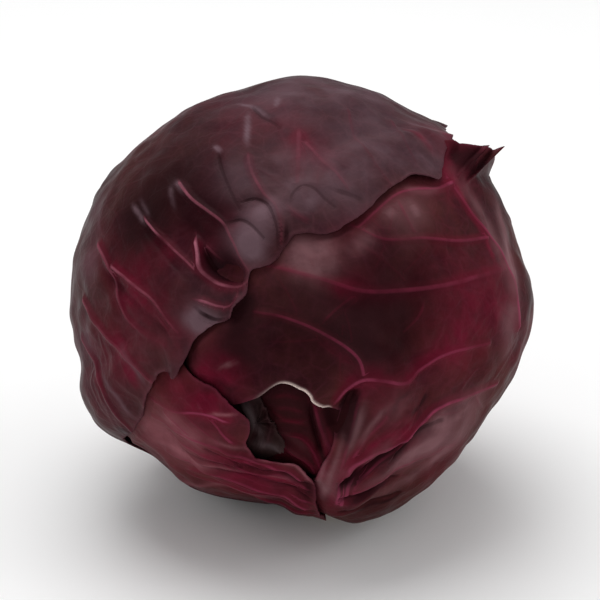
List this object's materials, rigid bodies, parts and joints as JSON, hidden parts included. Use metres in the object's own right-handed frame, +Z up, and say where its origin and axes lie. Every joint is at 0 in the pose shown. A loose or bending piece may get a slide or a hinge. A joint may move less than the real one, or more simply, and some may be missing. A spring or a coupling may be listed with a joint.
{
  "type": "red cabbage head",
  "caption": "Dense round head of overlapping dark purple-red leaves with waved, torn and curled margins, resting on a small flat spot beside its cut stem.",
  "frame": {"origin": "centre of the bounding box in plan, on the plane the head rests on", "axes": "+Z up from the rest plane; the show face with the torn opening looks along -Y, tilted 24 degrees upwards; +X to the right of that face"},
  "size_m": [0.1703, 0.1705, 0.1621],
  "materials": {
    "core_leaf": "smooth satin leaf, deep maroon",
    "inner_leaf": "smooth satin leaf, dark maroon",
    "dried_leaf": "dull dried leaf, nearly black",
    "wrapper_leaf": "satin leaf, dark red-purple with paler veins",
    "bloomed_leaf": "satin leaf under a grey waxy bloom",
    "stem": "dull dry cut stem"
  },
  "bodies": {
    "root": {"head_core": "core_leaf", "stem_stump": "stem", "inner_leaf": "inner_leaf", "torn_shred": "dried_leaf", "right_leaf": "wrapper_leaf", "back_right_leaf": "wrapper_leaf", "lower_left_leaf": "wrapper_leaf", "top_leaf": "bloomed_leaf", "back_leaf": "wrapper_leaf"}
  },
  "joints": []
}
